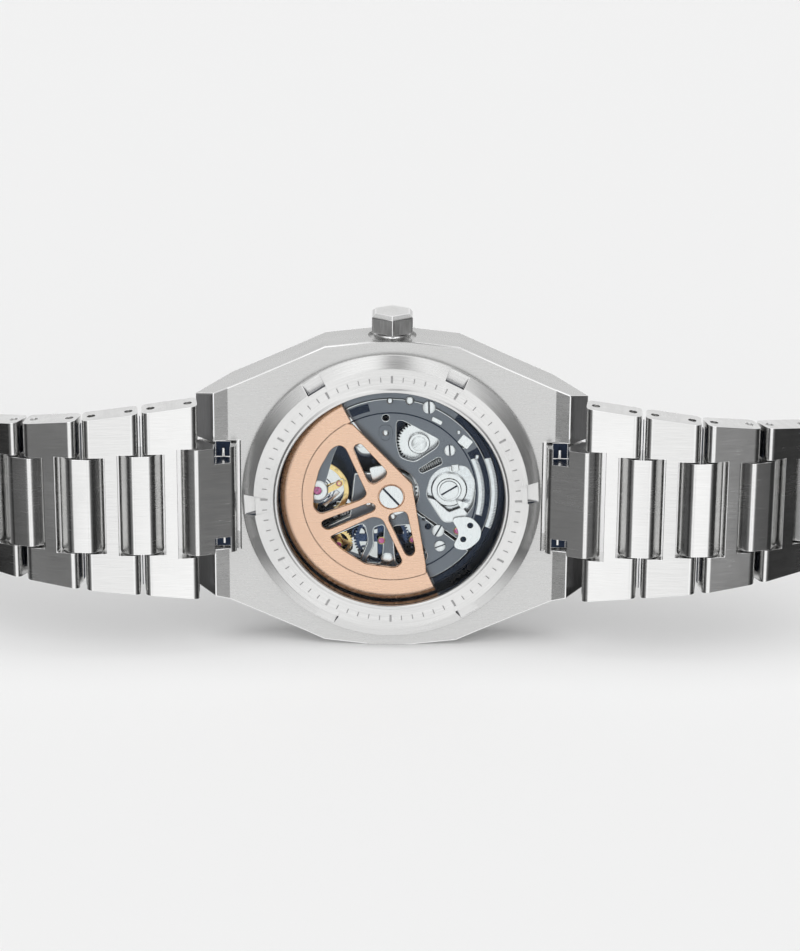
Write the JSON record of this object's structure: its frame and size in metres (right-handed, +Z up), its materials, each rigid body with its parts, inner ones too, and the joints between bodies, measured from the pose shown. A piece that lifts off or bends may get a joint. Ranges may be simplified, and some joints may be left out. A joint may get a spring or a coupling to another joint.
{
  "type": "skeleton wristwatch",
  "caption": "Mechanical skeleton wristwatch with a glazed case back, winding rotor, faceted steel case and jointed link bracelet with a folding clasp.",
  "frame": {"origin": "middle of the flat facet on the 9 o'clock flank of the case, which the watch stands on", "axes": "+Z up along the crown axis, towards 3 o'clock; +Y out of the dial; -Y out of the case back; +X towards 12 o'clock"},
  "size_m": [0.1462, 0.0382, 0.0439],
  "materials": {
    "brushed_steel": "fine brushed",
    "polished_steel": "polished",
    "sapphire": "clear, coated",
    "anthracite_bridge": "satin plated",
    "dark_plate": "satin plated",
    "gilt_brass": "satin gilt",
    "rose_gold": "rose gold plate, circular brushed",
    "seal_rubber": "matt"
  },
  "bodies": {
    "case": {"mid_case": "brushed_steel", "bezel": "polished_steel", "front_crystal": "sapphire", "chapter_ring": "anthracite_bridge", "movement_ring": "dark_plate", "case_back_ring": "brushed_steel", "case_back_crystal": "sapphire", "case_back_gasket": "seal_rubber", "main_plate": "dark_plate", "barrel_bridge": "anthracite_bridge", "train_bridge": "anthracite_bridge", "balance_cock": "anthracite_bridge", "rotor_screw": "polished_steel"},
    "crown_seal": {"crown_seal": "seal_rubber"},
    "crown": {"crown": "brushed_steel", "winding_stem": "polished_steel"},
    "mainspring_barrel": {"mainspring_barrel": "polished_steel"},
    "ratchet_wheel": {"ratchet_wheel": "polished_steel"},
    "crown_wheel": {"crown_wheel": "polished_steel"},
    "centre_wheel": {"centre_wheel": "gilt_brass"},
    "third_wheel": {"third_wheel": "gilt_brass"},
    "fourth_wheel": {"fourth_wheel": "gilt_brass"},
    "escape_wheel": {"escape_wheel": "polished_steel"},
    "reversing_wheel": {"reversing_wheel": "polished_steel"},
    "rotor": {"rotor_weight": "rose_gold"},
    "hour_hand": {"hour_hand": "polished_steel"},
    "minute_hand": {"minute_hand": "polished_steel"},
    "seconds_hand": {"seconds_hand": "gilt_brass"},
    "balance": {"balance_wheel": "gilt_brass", "hairspring": "dark_plate"},
    "pallet_fork": {"pallet_fork": "polished_steel"},
    "click": {"click": "polished_steel"},
    "end_piece_six": {"end_piece_six": "brushed_steel"},
    "link_six_1": {"link_six_1": "brushed_steel"},
    "centre_link_six_1": {"centre_link_six_1": "brushed_steel"},
    "link_six_2": {"link_six_2": "brushed_steel"},
    "centre_link_six_2": {"centre_link_six_2": "brushed_steel"},
    "link_six_3": {"link_six_3": "brushed_steel"},
    "centre_link_six_3": {"centre_link_six_3": "brushed_steel"},
    "link_six_4": {"link_six_4": "brushed_steel"},
    "centre_link_six_4": {"centre_link_six_4": "brushed_steel"},
    "link_six_5": {"link_six_5": "brushed_steel"},
    "centre_link_six_5": {"centre_link_six_5": "brushed_steel"},
    "link_six_6": {"link_six_6": "brushed_steel"},
    "clasp_cover": {"clasp_cover": "brushed_steel"},
    "clasp_long_blade": {"clasp_long_blade": "polished_steel"},
    "clasp_short_blade": {"clasp_short_blade": "polished_steel"},
    "clasp_button_upper": {"clasp_button_upper": "polished_steel"},
    "clasp_button_lower": {"clasp_button_lower": "polished_steel"},
    "end_piece_twelve": {"end_piece_twelve": "brushed_steel"},
    "link_twelve_1": {"link_twelve_1": "brushed_steel"},
    "centre_link_twelve_1": {"centre_link_twelve_1": "brushed_steel"},
    "link_twelve_2": {"link_twelve_2": "brushed_steel"},
    "centre_link_twelve_2": {"centre_link_twelve_2": "brushed_steel"},
    "link_twelve_3": {"link_twelve_3": "brushed_steel"},
    "centre_link_twelve_3": {"centre_link_twelve_3": "brushed_steel"},
    "link_twelve_4": {"link_twelve_4": "brushed_steel"},
    "centre_link_twelve_4": {"centre_link_twelve_4": "brushed_steel"},
    "link_twelve_5": {"link_twelve_5": "brushed_steel"}
  },
  "joints": [
    {"name": "crown_pull", "type": "slide", "parent": "case", "child": "crown_seal", "axis": [0, 0, 1], "range_m": [0, 0.0015]},
    {"name": "crown_turn", "type": "hinge", "parent": "crown_seal", "child": "crown", "pos_m": [0, 0, 0.02], "axis": [0, 0, 1], "continuous": true},
    {"name": "barrel_turn", "type": "hinge", "parent": "case", "child": "mainspring_barrel", "pos_m": [0.0072, -0.001, 0.0203], "axis": [0, 1, 0], "continuous": true},
    {"name": "ratchet_turn", "type": "hinge", "parent": "case", "child": "ratchet_wheel", "pos_m": [0.0072, -0.001, 0.0203], "axis": [0, 1, 0], "continuous": true},
    {"name": "crown_wheel_turn", "type": "hinge", "parent": "case", "child": "crown_wheel", "pos_m": [0.0034, -0.001, 0.0264], "axis": [0, 1, 0], "continuous": true},
    {"name": "centre_turn", "type": "hinge", "parent": "case", "child": "centre_wheel", "pos_m": [0, -0.001, 0.02], "axis": [0, 1, 0], "continuous": true},
    {"name": "third_turn", "type": "hinge", "parent": "case", "child": "third_wheel", "pos_m": [-0.0012, -0.001, 0.0137], "axis": [0, 1, 0], "continuous": true},
    {"name": "fourth_turn", "type": "hinge", "parent": "case", "child": "fourth_wheel", "pos_m": [-0.0066, -0.001, 0.0131], "axis": [0, 1, 0], "continuous": true},
    {"name": "escape_turn", "type": "hinge", "parent": "case", "child": "escape_wheel", "pos_m": [-0.0056, -0.001, 0.0169], "axis": [0, 1, 0], "continuous": true},
    {"name": "reversing_turn", "type": "hinge", "parent": "case", "child": "reversing_wheel", "pos_m": [0.0026, -0.001, 0.0124], "axis": [0, 1, 0], "continuous": true},
    {"name": "rotor_turn", "type": "hinge", "parent": "case", "child": "rotor", "pos_m": [0, -0.0032, 0.02], "axis": [0, 1, 0], "continuous": true},
    {"name": "hour_hand_turn", "type": "hinge", "parent": "case", "child": "hour_hand", "pos_m": [0, 0.0025, 0.02], "axis": [0, 1, 0], "continuous": true},
    {"name": "minute_hand_turn", "type": "hinge", "parent": "case", "child": "minute_hand", "pos_m": [0, 0.0025, 0.02], "axis": [0, 1, 0], "continuous": true},
    {"name": "seconds_hand_turn", "type": "hinge", "parent": "case", "child": "seconds_hand", "pos_m": [0, 0.0025, 0.02], "axis": [0, 1, 0], "continuous": true},
    {"name": "balance_swing", "type": "hinge", "parent": "case", "child": "balance", "pos_m": [-0.0091, -0.0015, 0.0202], "axis": [0, 1, 0], "range_deg": [-270, 270], "stiffness_Nm_per_rad": 0.00000055},
    {"name": "pallet_fork_rock", "type": "hinge", "parent": "case", "child": "pallet_fork", "pos_m": [-0.00755, -0.0005, 0.01875], "axis": [0, 1, 0], "range_deg": [-5, 5]},
    {"name": "click_rock", "type": "hinge", "parent": "case", "child": "click", "pos_m": [0.0072, -0.001, 0.0259], "axis": [0, 1, 0], "range_deg": [-8, 0], "stiffness_Nm_per_rad": 0.0001},
    {"name": "lug_hinge_six", "type": "hinge", "parent": "case", "child": "end_piece_six", "pos_m": [-0.0209, -0.0019, 0.02], "axis": [0, 0, 1], "range_deg": [-8, 8]},
    {"name": "pin_six_1", "type": "hinge", "parent": "end_piece_six", "child": "link_six_1", "pos_m": [-0.025, -0.00475, 0.02], "axis": [0, 0, 1], "range_deg": [-6, 20]},
    {"name": "pin_six_2", "type": "hinge", "parent": "link_six_1", "child": "centre_link_six_1", "pos_m": [-0.02952, -0.00526, 0.02], "axis": [0, 0, 1], "range_deg": [-11, 15]},
    {"name": "pin_six_3", "type": "hinge", "parent": "centre_link_six_1", "child": "link_six_2", "pos_m": [-0.03221, -0.00552, 0.02], "axis": [0, 0, 1], "range_deg": [-10.5, 15.5]},
    {"name": "pin_six_4", "type": "hinge", "parent": "link_six_2", "child": "centre_link_six_2", "pos_m": [-0.03675, -0.00584, 0.02], "axis": [0, 0, 1], "range_deg": [-4, 22]},
    {"name": "pin_six_5", "type": "hinge", "parent": "centre_link_six_2", "child": "link_six_3", "pos_m": [-0.03944, -0.00565, 0.02], "axis": [0, 0, 1], "range_deg": [-4, 22]},
    {"name": "pin_six_6", "type": "hinge", "parent": "link_six_3", "child": "centre_link_six_3", "pos_m": [-0.04389, -0.00471, 0.02], "axis": [0, 0, 1], "range_deg": [-6, 20]},
    {"name": "pin_six_7", "type": "hinge", "parent": "centre_link_six_3", "child": "link_six_4", "pos_m": [-0.04646, -0.00387, 0.02], "axis": [0, 0, 1], "range_deg": [-5, 21]},
    {"name": "pin_six_8", "type": "hinge", "parent": "link_six_4", "child": "centre_link_six_4", "pos_m": [-0.05058, -0.00195, 0.02], "axis": [0, 0, 1], "range_deg": [-8.5, 17.5]},
    {"name": "pin_six_9", "type": "hinge", "parent": "centre_link_six_4", "child": "link_six_5", "pos_m": [-0.05296, -0.00066, 0.02], "axis": [0, 0, 1], "range_deg": [-8.5, 17.5]},
    {"name": "pin_six_10", "type": "hinge", "parent": "link_six_5", "child": "centre_link_six_5", "pos_m": [-0.05681, 0.00175, 0.02], "axis": [0, 0, 1], "range_deg": [-9, 17]},
    {"name": "pin_six_11", "type": "hinge", "parent": "centre_link_six_5", "child": "link_six_6", "pos_m": [-0.05903, 0.0033, 0.02], "axis": [0, 0, 1], "range_deg": [-9, 17]},
    {"name": "pin_six_12", "type": "hinge", "parent": "link_six_6", "child": "clasp_cover", "pos_m": [-0.06261, 0.0061, 0.02], "axis": [0, 0, 1], "range_deg": [-6, 20]},
    {"name": "clasp_cover_hinge", "type": "hinge", "parent": "clasp_cover", "child": "clasp_long_blade", "pos_m": [-0.08541, 0.02798, 0.02], "axis": [0, 0, 1], "range_deg": [-110, 0]},
    {"name": "clasp_blade_hinge", "type": "hinge", "parent": "clasp_long_blade", "child": "clasp_short_blade", "pos_m": [-0.0677, 0.00976, 0.02], "axis": [0, 0, -1], "range_deg": [-120, 0]},
    {"name": "clasp_button_upper_press", "type": "slide", "parent": "clasp_cover", "child": "clasp_button_upper", "axis": [0, 0, -1], "range_m": [0, 0.0005], "stiffness_N_per_m": 300},
    {"name": "clasp_button_lower_press", "type": "slide", "parent": "clasp_cover", "child": "clasp_button_lower", "axis": [0, 0, 1], "range_m": [0, 0.0005], "stiffness_N_per_m": 300},
    {"name": "lug_hinge_twelve", "type": "hinge", "parent": "case", "child": "end_piece_twelve", "pos_m": [0.0209, -0.0019, 0.02], "axis": [0, 0, 1], "range_deg": [-8, 8]},
    {"name": "pin_twelve_1", "type": "hinge", "parent": "end_piece_twelve", "child": "link_twelve_1", "pos_m": [0.025, -0.00475, 0.02], "axis": [0, 0, 1], "range_deg": [-20, 6]},
    {"name": "pin_twelve_2", "type": "hinge", "parent": "link_twelve_1", "child": "centre_link_twelve_1", "pos_m": [0.02952, -0.00526, 0.02], "axis": [0, 0, 1], "range_deg": [-15, 11]},
    {"name": "pin_twelve_3", "type": "hinge", "parent": "centre_link_twelve_1", "child": "link_twelve_2", "pos_m": [0.03221, -0.00552, 0.02], "axis": [0, 0, 1], "range_deg": [-15.5, 10.5]},
    {"name": "pin_twelve_4", "type": "hinge", "parent": "link_twelve_2", "child": "centre_link_twelve_2", "pos_m": [0.03675, -0.00584, 0.02], "axis": [0, 0, 1], "range_deg": [-22, 4]},
    {"name": "pin_twelve_5", "type": "hinge", "parent": "centre_link_twelve_2", "child": "link_twelve_3", "pos_m": [0.03944, -0.00565, 0.02], "axis": [0, 0, 1], "range_deg": [-22, 4]},
    {"name": "pin_twelve_6", "type": "hinge", "parent": "link_twelve_3", "child": "centre_link_twelve_3", "pos_m": [0.04389, -0.00471, 0.02], "axis": [0, 0, 1], "range_deg": [-20, 6]},
    {"name": "pin_twelve_7", "type": "hinge", "parent": "centre_link_twelve_3", "child": "link_twelve_4", "pos_m": [0.04646, -0.00387, 0.02], "axis": [0, 0, 1], "range_deg": [-21, 5]},
    {"name": "pin_twelve_8", "type": "hinge", "parent": "link_twelve_4", "child": "centre_link_twelve_4", "pos_m": [0.05058, -0.00195, 0.02], "axis": [0, 0, 1], "range_deg": [-17.5, 8.5]},
    {"name": "pin_twelve_9", "type": "hinge", "parent": "centre_link_twelve_4", "child": "link_twelve_5", "pos_m": [0.05296, -0.00066, 0.02], "axis": [0, 0, 1], "range_deg": [-17.5, 8.5]}
  ],
  "couplings": [
    {"joint": "crown_wheel_turn", "follows": "crown_turn", "ratio": 0.5},
    {"joint": "ratchet_turn", "follows": "crown_turn", "ratio": -0.33333},
    {"joint": "reversing_turn", "follows": "rotor_turn", "ratio": -3},
    {"joint": "centre_turn", "follows": "barrel_turn", "ratio": -7},
    {"joint": "third_turn", "follows": "barrel_turn", "ratio": 56},
    {"joint": "fourth_turn", "follows": "barrel_turn", "ratio": -420},
    {"joint": "escape_turn", "follows": "barrel_turn", "ratio": 4200},
    {"joint": "minute_hand_turn", "follows": "barrel_turn", "ratio": -7},
    {"joint": "hour_hand_turn", "follows": "barrel_turn", "ratio": -0.58333},
    {"joint": "seconds_hand_turn", "follows": "barrel_turn", "ratio": -420}
  ]
}
